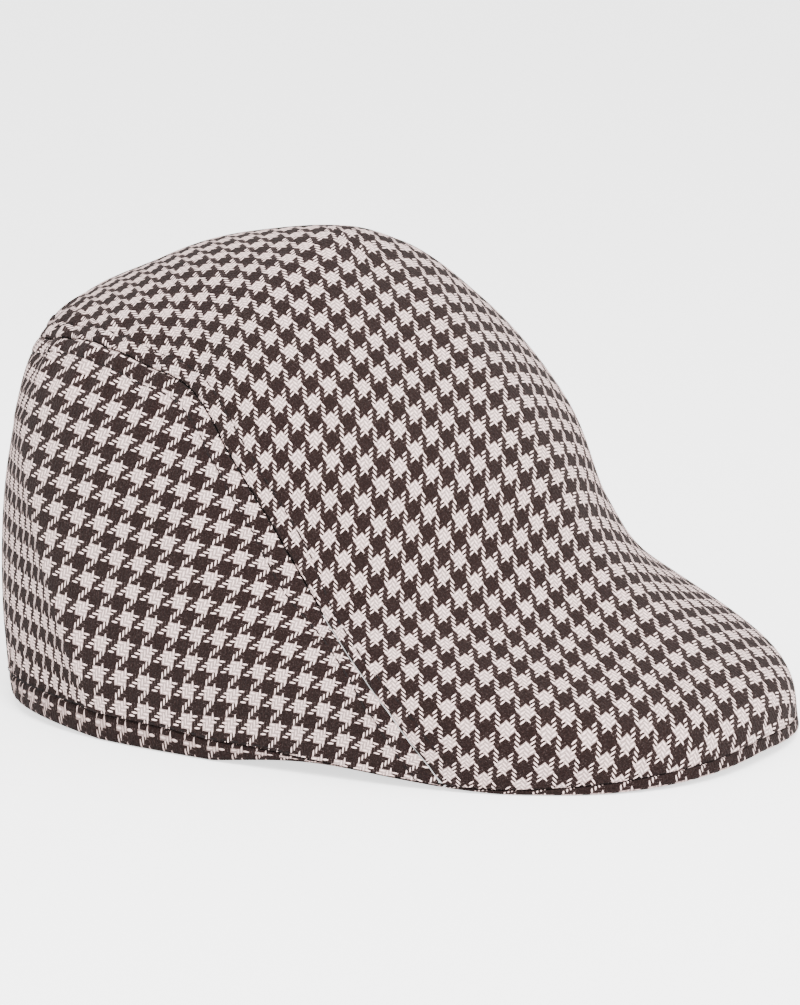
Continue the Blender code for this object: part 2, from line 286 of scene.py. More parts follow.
class Meridians:
    """Lines of the cap from its lower edge to the top, measured along the cloth."""

    def __init__(self, angles):
        self.angles = np.asarray(angles, dtype=float)
        self.degrees = from_front(self.angles)
        self.levels = np.linspace(0.0, 1.0, MERIDIAN_STEPS + 1)
        steps = np.diff(cap_point(self.angles[:, None], self.levels), axis=1)
        lengths = np.cumsum(np.linalg.norm(steps, axis=2), axis=1)
        self.lengths = np.pad(lengths, ((0, 0), (1, 0)))

    def level_at(self, lengths):
        """Levels of lengths up the lines, whose last axis runs over the lines."""
        levels = [np.interp(lengths[..., i], own, self.levels)
                  for i, own in enumerate(self.lengths)]
        return np.stack(levels, axis=-1)

    def point_at(self, lengths):
        return cap_point(self.angles, self.level_at(lengths))

    def seam(self):
        """Lengths from the lower edge up to the seam between the top and side panels."""
        levels = SEAM_CURVE(self.degrees)[0]
        lengths = [np.interp(level, self.levels, own)
                   for level, own in zip(levels, self.lengths)]
        return np.where(self.degrees > TEMPLE, lengths, 0.0)

    def band(self):
        """Lengths from the lower edge up to the top of the peak's edge or of the hem."""
        return BAND_CURVE(self.degrees)[0]

    def panel_edge(self):
        """Lengths from the lower edge up to where the top panel ends."""
        return np.maximum(self.seam(), self.band())


def stretch_along(lines, edges):
    """How much longer a way up the meridian is than the way straight off the edge."""
    sideways = np.linalg.norm(np.gradient(lines.point_at(edges), axis=0)[:, :2], axis=1)
    slope = np.gradient(edges) / np.maximum(sideways, TINY)
    return np.hypot(1.0, slope)


def seam_curve():
    """Points close together along the whole edge of the top panel, and their run."""
    lines = Meridians(np.radians(np.linspace(0.0, 360.0, SEAM_POINTS)))
    points = lines.point_at(lines.panel_edge())
    run = np.concatenate([[0.0], np.cumsum(np.linalg.norm(np.diff(points, axis=0), axis=1))])
    tree = KDTree(len(points))
    for index, point in enumerate(points):
        tree.insert(point, index)
    tree.balance()
    return tree, run, lines.degrees


SEAM_TREE, SEAM_RUN, SEAM_DEGREES = seam_curve()


def seam_relief(points, stitch_away):
    """Height of the sewn cloth over its plain surface: rolled edge, welt, channel, ripple."""
    found = [SEAM_TREE.find(point) for point in points.reshape(-1, 3)]
    index = np.array([hit[1] for hit in found])
    away = np.array([hit[2] for hit in found])
    on_seam = np.clip((SEAM_DEGREES[index] - TEMPLE) / SEAM_ONSET, 0.0, 1.0)
    inside = np.clip(1.0 - away / ROLL, 0.0, 1.0)
    roll = -ROLL * (1.0 - np.sqrt(1.0 - inside**2))
    middle = 0.5 * (ROLL + stitch_away)
    welt = WELT * np.exp(-(((away - middle) / (WELT_HALF * stitch_away)) ** 4))
    channel = -CHANNEL * np.exp(-(((away - stitch_away) / (0.5 * CHANNEL_WIDTH)) ** 2))
    ripple = np.sin(2 * np.pi * SEAM_RUN[index] / PUCKER_LENGTH)
    share, length, phase = PUCKER_SECOND
    ripple += share * np.sin(2 * np.pi * SEAM_RUN[index] / (length * PUCKER_LENGTH) + phase)
    pucker = PUCKER * ripple * np.exp(-((away - stitch_away) / PUCKER_FADE) ** 2)
    lift = roll + on_seam * (welt + channel + pucker)
    return lift.reshape(points.shape[:-1])


def behind_fold(lines, lengths):
    """Distance behind the fold at the back corner, less than zero before it."""
    return np.radians(lines.degrees - FOLD_CURVE(lengths)[0]) * FOLD_RADIUS


def corner_fold(lines, lengths):
    """Height of a side over its plain surface: corner fold, ribs and the back seam."""
    behind = behind_fold(lines, lengths) / FOLD_WIDTH
    dip = -np.where(behind > 0, behind * np.exp(1.0 - np.maximum(behind, 0.0)), 0.0)
    crest = FOLD_CREST * np.exp(-((behind + 0.5) ** 2))
    fade = np.sqrt(np.clip(1.0 - lengths / FOLD_TOP, 0.0, 1.0))
    fade = fade * np.clip(lengths / FOLD_FOOT, 0.0, 1.0)
    rib = np.sin(lines.angles * BACK_LENGTH * 2 * np.pi / RIB_PITCH)
    ribs = GATHER * rib * np.clip(0.5 * behind, 0.0, 1.0)
    ribs = ribs * np.clip(1.0 - lengths / GATHER_TOP, 0.0, 1.0)
    from_back = np.radians(180.0 - lines.degrees) * FOLD_RADIUS
    groove = -BACK_GROOVE * np.exp(-(from_back / BACK_GROOVE_WIDTH) ** 2)
    return FOLD_DEPTH * (dip + crest) * fade + ribs + groove


def new_object(name, data):
    made = bpy.data.objects.new(name, data)
    bpy.context.scene.collection.objects.link(made)
    return made


def new_mesh(name, points, faces):
    mesh = bpy.data.meshes.new(name)
    mesh.from_pydata([tuple(point) for point in points], [], faces)
    mesh.validate()
    mesh.shade_smooth()
    return new_object(name, mesh)


def grid_faces(rows, columns, ring):
    """Quads of a grid whose rows run to the wearer's right, seen from outside.

    A ring closes each row and adds one vertex, the pole, above the last row.
    """
    faces = []
    for row in range(rows - 1):
        for column in range(columns if ring else columns - 1):
            after = (column + 1) % columns
            low, high = row * columns, (row + 1) * columns
            faces.append((low + column, high + column, high + after, low + after))
    if ring:
        last, pole = (rows - 1) * columns, rows * columns
        faces += [(last + i, pole, last + (i + 1) % columns) for i in range(columns)]
    return faces


def unwrapped(points, faces):
    """Flat cut of an open mesh, as a complex number of metres for each vertex."""
    piece = new_mesh("flat_cut", points, faces)
    mesh = piece.data
    mesh.uv_layers.new(name="grain")
    bpy.context.view_layer.objects.active = piece
    piece.select_set(True)
    bpy.ops.object.mode_set(mode="EDIT")
    bpy.ops.mesh.select_all(action="SELECT")
    bpy.ops.uv.unwrap(method="MINIMUM_STRETCH", margin=0.0)
    bpy.ops.object.mode_set(mode="OBJECT")
    loops = np.empty(2 * len(mesh.loops))
    mesh.uv_layers["grain"].data.foreach_get("uv", loops)
    corners = np.empty(len(mesh.loops), dtype=int)
    mesh.loops.foreach_get("vertex_index", corners)
    flat = np.zeros(len(mesh.vertices), dtype=complex)
    flat[corners] = loops[0::2] + 1j * loops[1::2]
    signed = sum(0.5 * np.sum(np.imag(np.conj(ring) * np.roll(ring, -1)))
                 for ring in (flat[list(face)] for face in faces))
    area = sum(face.area for face in mesh.polygons)
    bpy.data.meshes.remove(mesh)
    if signed < 0:
        flat = np.conj(flat)
    return flat * np.sqrt(area / abs(signed))


def pulled(flat, middle, half, pull, folded):
    """The flat cut after the pull of its sewing."""
    across = (flat.real - middle[0]) / half[0]
    along = (flat.imag - middle[1]) / half[1]
    for power_across, power_along, pull_across, pull_along in pull:
        term = across**power_across * along**power_along
        side = 1.0
        if folded and power_across + power_along > 1:
            term = np.abs(across) ** power_across * along**power_along
            side = np.sign(across)
        flat = flat + pull_across * side * term + 1j * pull_along * term
    return flat


def squeezed(lines, lengths):
    """Cloth taken up by the gathering between the fold at the back corner and each vertex."""
    behind = np.maximum(behind_fold(lines, lengths), 0.0)
    behind = behind**2 / (behind + SQUEEZE_START)
    return SQUEEZE * SQUEEZE_FADE * (1.0 - np.exp(-behind / SQUEEZE_FADE))


def lay_flat(piece, lines, lengths, ring):
    """Write the cut of a panel as its UV map.

    Some rows of its grid are unwrapped, and the rest are read between. Its middle line
    runs along V, and its lowest and foremost vertex is the UV origin before the pull.
    """
    rows, columns = lengths.shape
    last = rows - (CUT_STEP if ring else 1)
    picks = np.unique(np.linspace(0, last, rows // CUT_STEP, dtype=int))
    points = lines.point_at(lengths[picks]).reshape(-1, 3)
    if ring:
        points = np.concatenate([points, [cap_point(0.0, 1.0)]])
    flat = unwrapped(points, grid_faces(len(picks), columns, ring))
    flat = flat[:len(picks) * columns].reshape(-1, columns)
    pole = flat[-1].mean()
    full = np.empty((rows, columns), dtype=complex)
    for i in range(columns):
        at, values = lengths[picks, i], flat[:, i]
        if ring:
            at, values = np.append(at, lines.lengths[i, -1]), np.append(values, pole)
        full[:, i] = Curve(at, values[:, None])(lengths[:, i])[0]
    middle = columns // 2
    way = (full[rows // 2, 0] - full[rows // 2, middle] if ring
           else full[rows // 2, middle] - full[rows // 4, middle])
    start = full[0, np.argmin(lines.degrees)]
    full = (np.append(full.ravel(), pole) - start) * 1j * abs(way) / way
    if ring:
        full = pulled(full, TOP_MIDDLE, TOP_HALF, TOP_PULL, True)
    else:
        right = lines.angles[0] > 0
        full = full if right else -np.conj(full)
        full = pulled(full, SIDE_MIDDLE, SIDE_HALF, SIDE_PULL, False)
        full[:-1] -= squeezed(lines, lengths).ravel()
        full = full if right else -np.conj(full)
    corners = np.empty(len(piece.data.loops), dtype=int)
    piece.data.loops.foreach_get("vertex_index", corners)
    placed = np.stack([full.real, full.imag], axis=-1)[corners]
    piece.data.uv_layers.new(name="grain").data.foreach_set("uv", placed.ravel())


def make_panel(name, lines, lengths, ring, stitch_away):
    """Sewn panel of cloth: rows at lengths up the lines, cut flat, with its thickness."""
    levels = lines.level_at(lengths)
    plain = cap_point(lines.angles, levels)
    lift = seam_relief(plain, stitch_away)
    if not ring:
        lift = lift + corner_fold(lines, lengths)
    points = (plain + lift[..., None] * cap_normal(lines.angles, levels) + MOVE).reshape(-1, 3)
    if ring:
        points = np.concatenate([points, [cap_point(0.0, 1.0) + MOVE]])
    piece = new_mesh(name, points, grid_faces(*lengths.shape, ring))
    lay_flat(piece, lines, lengths, ring)
    wall = piece.modifiers.new("cloth", "SOLIDIFY")
    wall.thickness = CLOTH
    wall.offset = -1.0
    wall.use_rim = True
    return piece


def make_top_panel():
    """Crown and the cover of the peak, in one cloth."""
    lines = Meridians(np.linspace(0.0, 2 * np.pi, TOP_COLUMNS, endpoint=False))
    edges = lines.panel_edge()
    near = edges + (0.5 * SEAM_GAP + np.array(EDGE_ROWS)[:, None]) * stretch_along(lines, edges)
    share = np.linspace(0.0, 1.0, CROWN_ROWS)[1:-1, None]
    far = near[-1] + (lines.lengths[:, -1] - near[-1]) * share
    return make_panel("top_panel_cloth", lines, np.concatenate([near, far]), True,
                      TOP_STITCH_AWAY)


def side_start():
    """Degrees from the front at which the seam has risen clear of the hem."""
    degrees = np.arange(TEMPLE, 90.0, 0.1)
    lines = Meridians(np.radians(degrees))
    return degrees[np.argmax(lines.seam() > lines.band() + ROLL)]


def make_side_panel(name, side):
    """Side of the crown, from the temple to the back seam. side is 1 for the right."""
    back_line = np.pi - 0.5 * BACK_GAP / FOLD_RADIUS
    angles = side * np.linspace(np.radians(side_start()), back_line, SIDE_COLUMNS + 1)
    lines = Meridians(angles[::int(side)])
    tops = lines.seam()
    stretch = stretch_along(lines, tops)
    tops = tops - 0.5 * SEAM_GAP * stretch
    lows = lines.band() + 0.5 * SEAM_GAP
    heights = tops - lows
    few = np.linspace(0.0, 1.0, len(EDGE_ROWS))[:, None]
    upper = np.minimum(np.array(EDGE_ROWS)[:, None] * stretch, UPPER_SHARE * heights * few**1.5)
    near_top = tops - upper[::-1]
    lower = np.minimum(np.array(EDGE_ROWS[:5])[:, None], LOWER_SHARE * heights * few[:5])
    near_low = lows + lower
    share = np.linspace(0.0, 1.0, SIDE_ROWS + 1)[:-1, None]
    middle = near_low[-1] + (near_top[0] - near_low[-1]) * share
    lengths = np.concatenate([near_low[:-1], middle, near_top])
    return make_panel(name, lines, lengths, False, SIDE_STITCH_AWAY)


def inward(angles):
    """Level directions from the lower edge of the cap to its inside."""
    step = cap_point(angles + SLOPE_STEP, 0.0) - cap_point(angles - SLOPE_STEP, 0.0)
    x, y = step[:, 0], step[:, 1]
    return np.stack([y, -x, 0.0 * x], axis=-1) / np.hypot(x, y)[:, None]


def make_tube(name, sections, middle, first=0.0, drawn=1.0):
    """Closed solid through sections that are closed loops, with UV by run and girth.

    middle is the place across the cut where each loop starts, first that along it, and
    drawn the share of the girth that the cut is wide.
    """
    count, around, _ = sections.shape
    faces = []
    for i in range(count - 1):
        for j in range(around):
            after = (j + 1) % around
            faces.append((i * around + j, i * around + after,
                          (i + 1) * around + after, (i + 1) * around + j))
    faces.append(tuple(range(around))[::-1])
    faces.append(tuple((count - 1) * around + j for j in range(around)))
    piece = new_mesh(name, sections.reshape(-1, 3), faces)
    steps = np.linalg.norm(np.diff(sections[:, 0], axis=0), axis=1)
    run = first + np.concatenate([[0.0], np.cumsum(steps)])
    half_way = sections[count // 2]
    girth = np.linalg.norm(np.roll(half_way, -1, axis=0) - half_way, axis=1)
    across = middle - drawn * np.concatenate([[0.0], np.cumsum(girth)])
    layer = piece.data.uv_layers.new(name="grain")
    for face in piece.data.polygons:
        if len(face.vertices) != 4:
            continue
        wraps = any(v % around == around - 1 for v in face.vertices)
        for loop in face.loop_indices:
            i, j = divmod(piece.data.loops[loop].vertex_index, around)
            layer.data[loop].uv = (run[i], across[around if wraps and j == 0 else j])
    return piece


def make_peak():
    """Covered peak: a stiff crescent under the top panel, with its edge in the open."""
    end = np.radians(TEMPLE) - SEAM_GAP / HALF_WIDTH
    lines = Meridians(np.linspace(end, -end, PEAK_COLUMNS + 1))
    seam = lines.band() - 0.5 * SEAM_GAP
    into = inward(lines.angles)
    tuck = lines.point_at(seam) + into * PEAK_TUCK
    face = lines.point_at(np.array(PEAK_FACE)[:, None] * seam)
    turns = np.radians([[0.0], [30.0], [60.0], [90.0]])
    lip = lines.point_at(PEAK_FOOT * seam * (1.0 - np.sin(turns)))
    lip = lip + into * ((1.0 - np.cos(turns)) * PEAK_LIP)[..., None]
    reach = PEAK_LENGTH * (1.0 - PEAK_NARROWING * (lines.degrees / TEMPLE) ** 2)
    levels = lines.level_at(np.linspace(seam + SEAM_CLEAR, reach, PEAK_LOOPS))
    skin = cap_point(lines.angles, levels)
    normals = cap_normal(lines.angles, levels)
    upper = skin - (CLOTH + COVER_GAP) * normals
    under = skin - (CLOTH + COVER_GAP + PEAK_THICKNESS) * normals
    loops = np.concatenate([tuck[None], face, lip, under[1:], upper[::-1]]) + MOVE
    return make_tube("peak_cloth", loops.transpose(1, 0, 2), PEAK_CUT)


def make_hem():
    """Rolled hem round the back of the head opening, flat where it rests."""
    first = np.radians(TEMPLE) + SEAM_GAP / HALF_WIDTH
    lines = Meridians(np.linspace(2 * np.pi - first, first, HEM_COLUMNS + 1))
    low = lines.point_at(np.zeros(HEM_COLUMNS + 1))
    rise = lines.point_at(lines.band() - 0.5 * SEAM_GAP) - low
    into = inward(lines.angles) * HEM_THICKNESS
    gathered = np.clip((lines.degrees - GATHER_START) / GATHER_ONSET, 0.0, 1.0)
    rib = HEM_RIB * gathered * np.sin(lines.angles * BACK_LENGTH * 2 * np.pi / RIB_PITCH)
    turns = np.linspace(0.0, 2 * np.pi, HEM_SECTION, endpoint=False)[:, None]
    inside = np.sign(np.cos(turns)) * np.abs(np.cos(turns)) ** HEM_SQUARE
    down = np.sign(np.sin(turns)) * np.abs(np.sin(turns)) ** HEM_SQUARE
    loops = (low + (0.5 - 0.5 * inside * (1.0 + rib))[..., None] * into
             + (0.5 - 0.5 * down)[..., None] * rise + MOVE)
    return make_tube("hem_cloth", loops.transpose(1, 0, 2), HEM_CUT, HEM_CUT_START, HEM_DRAWN)


class Wires:
    """Places nodes in a tree. Most methods return the socket that the node puts out."""

    def __init__(self, tree):
        self.tree = tree

    def put(self, sockets, values):
        """Give sockets their values, or links from the sockets given as values."""
        for key, value in values.items():
            if isinstance(value, bpy.types.NodeSocket):
                self.tree.links.new(value, sockets[key])
            else:
                sockets[key].default_value = value

    def node(self, kind, inputs=(), **settings):
        node = self.tree.nodes.new(kind)
        for key, value in settings.items():
            setattr(node, key, value)
        self.put(node.inputs, dict(inputs))
        return node

    def math(self, operation, *values):
        return self.node("ShaderNodeMath", enumerate(values), operation=operation).outputs[0]

    def plus(self, first, second):
        return self.math("ADD", first, second)

    def minus(self, first, second):
        return self.math("SUBTRACT", first, second)

    def times(self, first, second):
        return self.math("MULTIPLY", first, second)

    def vector(self, operation, *values):
        node = self.node("ShaderNodeVectorMath", enumerate(values), operation=operation)
        return node.outputs[0]

    def point(self, **parts):
        return self.node("ShaderNodeCombineXYZ", parts).outputs[0]

    def choose(self, pick, no, yes):
        """The value of yes where pick is 1, and of no where it is 0."""
        inputs = {"Factor": pick, "A": no, "B": yes}
        return self.node("ShaderNodeMix", inputs, data_type="FLOAT").outputs[0]

    def blend(self, factor, first, second, blend_type="MIX"):
        inputs = {"Factor": factor, 6: first, 7: second}
        return self.node("ShaderNodeMix", inputs, data_type="RGBA",
                         blend_type=blend_type).outputs[2]

    def steps(self, value, low, high):
        """0 below low, 1 above high and smooth between them."""
        inputs = {"Value": value, "From Min": low, "From Max": high}
        return self.node("ShaderNodeMapRange", inputs, interpolation_type="SMOOTHSTEP").outputs[0]

    def bump(self, height, strength, distance):
        inputs = {"Height": height, "Strength": strength, "Distance": distance}
        return self.node("ShaderNodeBump", inputs).outputs[0]

    def noise(self, vector, scale, detail=2.0):
        inputs = {"Vector": vector, "Scale": scale, "Detail": detail}
        return self.node("ShaderNodeTexNoise", inputs)


def new_material(name):
    """Material, the wires of its tree and the sockets of its shader."""
    material = bpy.data.materials.new(name)
    material.use_nodes = True
    tree = material.node_tree
    return material, Wires(tree), tree.nodes["Principled BSDF"].inputs


def new_group(name, inputs, outputs):
    """Shader node group with named sockets, each given as (name, type, default)."""
    tree = bpy.data.node_groups.new(name, "ShaderNodeTree")
    for socket, kind, default in inputs:
        made = tree.interface.new_socket(socket, in_out="INPUT", socket_type=kind)
        if default is not None:
            made.default_value = default
    for socket, kind in outputs:
        tree.interface.new_socket(socket, in_out="OUTPUT", socket_type=kind)
    wires = Wires(tree)
    entry = wires.node("NodeGroupInput").outputs
    leave = wires.node("NodeGroupOutput").inputs
    return tree, wires, entry, leave


# Weave of the tweed. Pairs are for a dark and a light yarn.
YARNS = 4                   # yarns of one colour side by side
FLOAT = 2                   # yarns that each yarn passes over, and then under
LIGHT_WOOL = (0.92, 0.69, 0.65, 1.0)
DARK_WOOL = (0.0104, 0.0050, 0.0044, 1.0)
PEAK_DULL_AND_SHADED_WOOL = (0.70, 0.52, 0.49, 1.0)   # a duller cloth at the edges, darkened further by painted shade
# the hem's light yarn: a duller cloth, darkened further by painted shade where it rolls under
HEM_DULL_AND_SHADED_WOOL = (0.60, 0.44, 0.41, 1.0)
WAVER = 0.5                 # most that the yarns wander, as a share of the drifts below
WIDE_DRIFT, CLOSE_DRIFT = (0.035, 3.0), (0.28, 0.7)     # scale, and drift in yarns
FLOAT_POINT = 0.7           # less gives a float blunter ends
FLOAT_ENDS, FLOAT_SWELL = 0.32, 0.72        # width of a float's ends, more at its middle
FULLNESS = (1.2, 0.55)      # what the widths are multiplied by
GAP_EDGE = (0.80, 1.15)     # half widths between which a yarn gives way to the one below
GAP_SHADE = (0.88, 0.42)    # how dark the yarn below a yarn looks
TWIST = (1.9, 1.3)          # turns of the twist to one yarn's width along and across it
FIBRES = (1.4, 7.0)         # scale of the fibres along and across a yarn
SHADE = (0.80, 0.64)        # painted shade: value where a yarn dips under
FLOAT_CREST_HIGHLIGHT = (0.24, 0.44)      # painted highlight added on the back of a float
FIBRE_SHADE, YARN_SHADE, TWIST_SHADE = 0.8, 0.14, 0.025
STRAY_EDGE, STRAY, STRAY_LIGHT = (0.50, 0.78), 0.24, 0.22   # loose fibres of both colours
STRAY_NOISE = (0.9, 4.0)    # scale and detail of the noise that lays them
SEED_SHIFT = 511.0          # keeps the noises of the two sets of yarns apart
WARP_SHIFT = 9.0
STRAY_SHIFT = (31.0, 7.0, 0.0)
BODY = (0.4, 0.6)           # height of a float's ends, and more at its middle
TWIST_RISE, FIBRE_RISE = 0.06, 0.16         # heights of twist and fibres beside that
ROUGHNESS = (0.82, 0.16)    # least, and what the fibres add
WOOL_RELIEF = 0.00035       # metres to one unit of height
THREAD_DARK, THREAD_PALE = (0.003, 0.002, 0.002, 1.0), (0.009, 0.006, 0.006, 1.0)
THREAD_RELIEF = 0.00008
THREAD_FIBRES = 2600.0      # scale of the fibres of the sewing thread


def houndstooth_group():
    """Houndstooth in a two-over-two twill: four light and four dark yarns each way."""
    tree, w, given, put = new_group(
        "houndstooth_tweed",
        [("Cut", "NodeSocketVector", None), ("Yarn", "NodeSocketFloat", THREAD_PITCH),
         ("Light", "NodeSocketColor", LIGHT_WOOL),
         ("Dark", "NodeSocketColor", DARK_WOOL),
         ("Waver", "NodeSocketFloat", WAVER)],
        [("Color", "NodeSocketColor"), ("Height", "NodeSocketFloat"),
         ("Roughness", "NodeSocketFloat")])
    yarn = given["Yarn"]
    scaled = w.vector("DIVIDE", given["Cut"], w.point(X=yarn, Y=yarn, Z=yarn))

    def drift(scale, yarns):
        """Sideways drift of the yarns, in yarns."""
        colour = w.noise(scaled, scale).outputs["Color"]
        centred = w.vector("SUBTRACT", colour, (0.5, 0.5, 0.5))
        strength = w.times(given["Waver"], yarns)
        return w.node("ShaderNodeVectorMath", {0: centred, "Scale": strength},
                      operation="SCALE").outputs[0]

    drifted = w.vector("ADD", w.vector("ADD", scaled, drift(*WIDE_DRIFT)), drift(*CLOSE_DRIFT))
    laid = w.node("ShaderNodeSeparateXYZ", {0: drifted}).outputs
    warp_at, weft_at = laid["X"], laid["Y"]
    end = w.math("FLOOR", warp_at)
    pick = w.math("FLOOR", weft_at)
    across_end = w.minus(warp_at, end)
    across_pick = w.minus(weft_at, pick)

    turn = w.plus(w.minus(end, pick), 1.0)
    turn = w.math("FLOORED_MODULO", turn, 2.0 * FLOAT)
    warp_up = w.math("LESS_THAN", turn, FLOAT - 0.5)
    warp_light = w.math("LESS_THAN", w.math("FLOORED_MODULO", end, 2.0 * YARNS), YARNS - 0.5)
    weft_light = w.math("LESS_THAN", w.math("FLOORED_MODULO", pick, 2.0 * YARNS), YARNS - 0.5)
    over = w.choose(warp_up, weft_light, warp_light)
    under = w.choose(warp_up, warp_light, weft_light)

    warp_float = w.times(w.plus(w.minus(FLOAT - 1.0, turn), across_pick), 1.0 / FLOAT)
    weft_float = w.times(w.plus(w.minus(turn, float(FLOAT)), across_end), 1.0 / FLOAT)
    along = w.choose(warp_up, weft_float, warp_float)
    across = w.choose(warp_up, across_pick, across_end)
    centred = w.math("ABSOLUTE", w.times(w.minus(across, 0.5), 2.0))
    arch = w.math("SINE", w.times(along, np.pi))
    arch = w.math("POWER", w.math("MAXIMUM", arch, 0.0), FLOAT_POINT)
    width = w.plus(w.times(arch, FLOAT_SWELL), FLOAT_ENDS)
    width = w.times(width, w.choose(over, *FULLNESS))
    beside = w.math("DIVIDE", centred, width)
    fallen = w.math("POWER", w.math("MINIMUM", beside, 1.0), 2.0)
    round_yarn = w.math("SQRT", w.math("MAXIMUM", w.minus(1.0, fallen), 0.0))
    shows_under = w.steps(beside, *GAP_EDGE)

    lengthwise = w.choose(warp_up, warp_at, weft_at)
    sideways = w.choose(warp_up, weft_at, warp_at)
    twist = w.plus(w.times(lengthwise, TWIST[0]), w.times(sideways, TWIST[1]))
    twist = w.math("SINE", w.times(twist, 2 * np.pi))
    fibre_at = w.point(X=w.times(lengthwise, FIBRES[0]),
                       Y=w.times(sideways, FIBRES[1]),
                       Z=w.times(warp_up, WARP_SHIFT))
    fibre = w.noise(fibre_at, 1.0, 3.0).outputs[0]
    number = w.choose(warp_up, pick, end)
    number = w.plus(number, w.times(warp_up, SEED_SHIFT))
    own = w.node("ShaderNodeTexWhiteNoise", {"W": number}, noise_dimensions="1D").outputs["Value"]

    body = w.times(round_yarn, w.plus(w.times(arch, BODY[1]), BODY[0]))
    height = w.times(twist, w.times(round_yarn, TWIST_RISE))
    height = w.plus(body, height)
    height = w.plus(height, w.times(fibre, FIBRE_RISE))

    # Painted shade and highlight of the yarns' relief: darker where a yarn dips under, lighter on
    # the back of a float and along the ridges of its twist. Fibres and yarns also vary at random
    # in tone.
    value = w.times(body, w.choose(over, *FLOAT_CREST_HIGHLIGHT))
    value = w.plus(w.choose(over, *SHADE), value)
    for effect, share in ((w.minus(fibre, 0.5), FIBRE_SHADE),
                          (w.minus(own, 0.5), YARN_SHADE), (twist, TWIST_SHADE)):
        value = w.plus(value, w.times(effect, share))
    top_yarn = w.blend(over, given["Dark"], given["Light"])
    low_yarn = w.blend(under, given["Dark"], given["Light"])
    low_yarn = w.blend(w.choose(over, *GAP_SHADE), low_yarn, given["Dark"])
    colour = w.blend(shows_under, top_yarn, low_yarn)
    shade = w.node("ShaderNodeCombineColor", {0: value, 1: value, 2: value}).outputs[0]
    colour = w.blend(1.0, colour, shade, "MULTIPLY")
    stray = w.noise(w.vector("ADD", fibre_at, STRAY_SHIFT), *STRAY_NOISE).outputs[0]
    stray = w.times(w.steps(stray, *STRAY_EDGE), STRAY)
    colour = w.blend(stray, colour, w.blend(STRAY_LIGHT, given["Dark"], given["Light"]))
    rough = w.plus(ROUGHNESS[0], w.times(fibre, ROUGHNESS[1]))
    w.put(put, {"Color": colour, "Height": height, "Roughness": rough})
    return tree


def tweed(name, group, **values):
    """Matte wool tweed of one piece, with its own light and dark yarn."""
    material, w, shader = new_material(name)
    cut = w.node("ShaderNodeUVMap", uv_map="grain").outputs[0]
    weave = w.node("ShaderNodeGroup", node_tree=group)
    w.put(weave.inputs, {"Cut": cut, **values})
    weave = weave.outputs
    w.put(shader, {"Base Color": weave["Color"], "Roughness": weave["Roughness"],
                   "Normal": w.bump(weave["Height"], 0.85, WOOL_RELIEF),
                   "Specular IOR Level": 0.045, "Sheen Weight": 0.02,
                   "Sheen Roughness": 0.6})
    return material


def thread_material():
    """Dark polyester sewing thread, slightly glossier than the wool."""
    material, w, shader = new_material("sewing_thread")
    place = w.node("ShaderNodeTexCoord").outputs["Object"]
    fibre = w.noise(place, THREAD_FIBRES, 2.0).outputs[0]
    w.put(shader, {"Base Color": w.blend(fibre, THREAD_DARK, THREAD_PALE),
                   "Normal": w.bump(fibre, 0.4, THREAD_RELIEF),
                   "Roughness": w.plus(0.60, w.times(fibre, 0.3)),
                   "Specular IOR Level": 0.15})
    return material


def stitch_tree(material):
    """Geometry nodes that lay a row of stitches on a path with its own out direction."""
    tree = bpy.data.node_groups.new("row_of_stitches", "GeometryNodeTree")
    sockets = tree.interface
    sockets.new_socket("Path", in_out="INPUT", socket_type="NodeSocketGeometry")
    for name, value in (("Pitch", STITCH_PITCH), ("Length", STITCH_LENGTH),
                        ("Thread", STITCH_THREAD)):
        socket = sockets.new_socket(name, in_out="INPUT", socket_type="NodeSocketFloat")
        socket.default_value = value
    seed = sockets.new_socket("Seed", in_out="INPUT", socket_type="NodeSocketInt")
    seed.default_value = STITCH_SEED
    sockets.new_socket("Stitches", in_out="OUTPUT", socket_type="NodeSocketGeometry")
    w = Wires(tree)
    given = w.node("NodeGroupInput").outputs
    put = w.node("NodeGroupOutput").inputs
    curve = w.node("GeometryNodeMeshToCurve", {"Mesh": given["Path"]}).outputs[0]
    spaced = w.node("GeometryNodeResampleCurve", {"Curve": curve, "Length": given["Pitch"]},
                    mode="LENGTH").outputs[0]
    half = w.times(given["Length"], 0.5)
    back = w.times(given["Length"], -0.5)
    sunk = w.times(given["Thread"], STITCH_SUNK)
    raised = w.times(given["Thread"], STITCH_RAISED)
    arc = w.node("GeometryNodeCurveQuadraticBezier", {
        "Resolution": STITCH_FACETS,
        "Start": w.point(X=back, Z=sunk), "Middle": w.point(Z=raised),
        "End": w.point(X=half, Z=sunk)}).outputs[0]
    ring = w.node("GeometryNodeCurvePrimitiveCircle", {
        "Resolution": STITCH_FACETS,
        "Radius": w.times(given["Thread"], 0.5)}).outputs[0]
    stitch = w.node("GeometryNodeCurveToMesh", {
        "Curve": arc, "Profile Curve": ring, "Fill Caps": True}).outputs[0]
    along = w.node("GeometryNodeInputNamedAttribute", {"Name": "along"},
                   data_type="FLOAT_VECTOR").outputs[0]
    out = w.node("GeometryNodeInputNamedAttribute", {"Name": "out"},
                 data_type="FLOAT_VECTOR").outputs[0]
    facing = w.node("FunctionNodeAxesToRotation", {"Primary Axis": out, "Secondary Axis": along},
                    primary_axis="Z", secondary_axis="X").outputs[0]
    wobble = w.node("FunctionNodeRandomValue", {
        "Min": tuple(-tilt for tilt in STITCH_TILT), "Max": STITCH_TILT,
        "Seed": given["Seed"]}, data_type="FLOAT_VECTOR").outputs[0]
    turned = w.node("FunctionNodeRotateRotation", {"Rotation": facing, "Rotate By": wobble},
                    rotation_space="LOCAL").outputs[0]
    placed = w.node("GeometryNodeInstanceOnPoints", {
        "Points": spaced, "Instance": stitch, "Rotation": turned}).outputs[0]
    real = w.node("GeometryNodeRealizeInstances", {"Geometry": placed}).outputs[0]
    done = w.node("GeometryNodeSetMaterial", {"Geometry": real, "Material": material}).outputs[0]
    w.put(put, {"Stitches": done})
    return tree


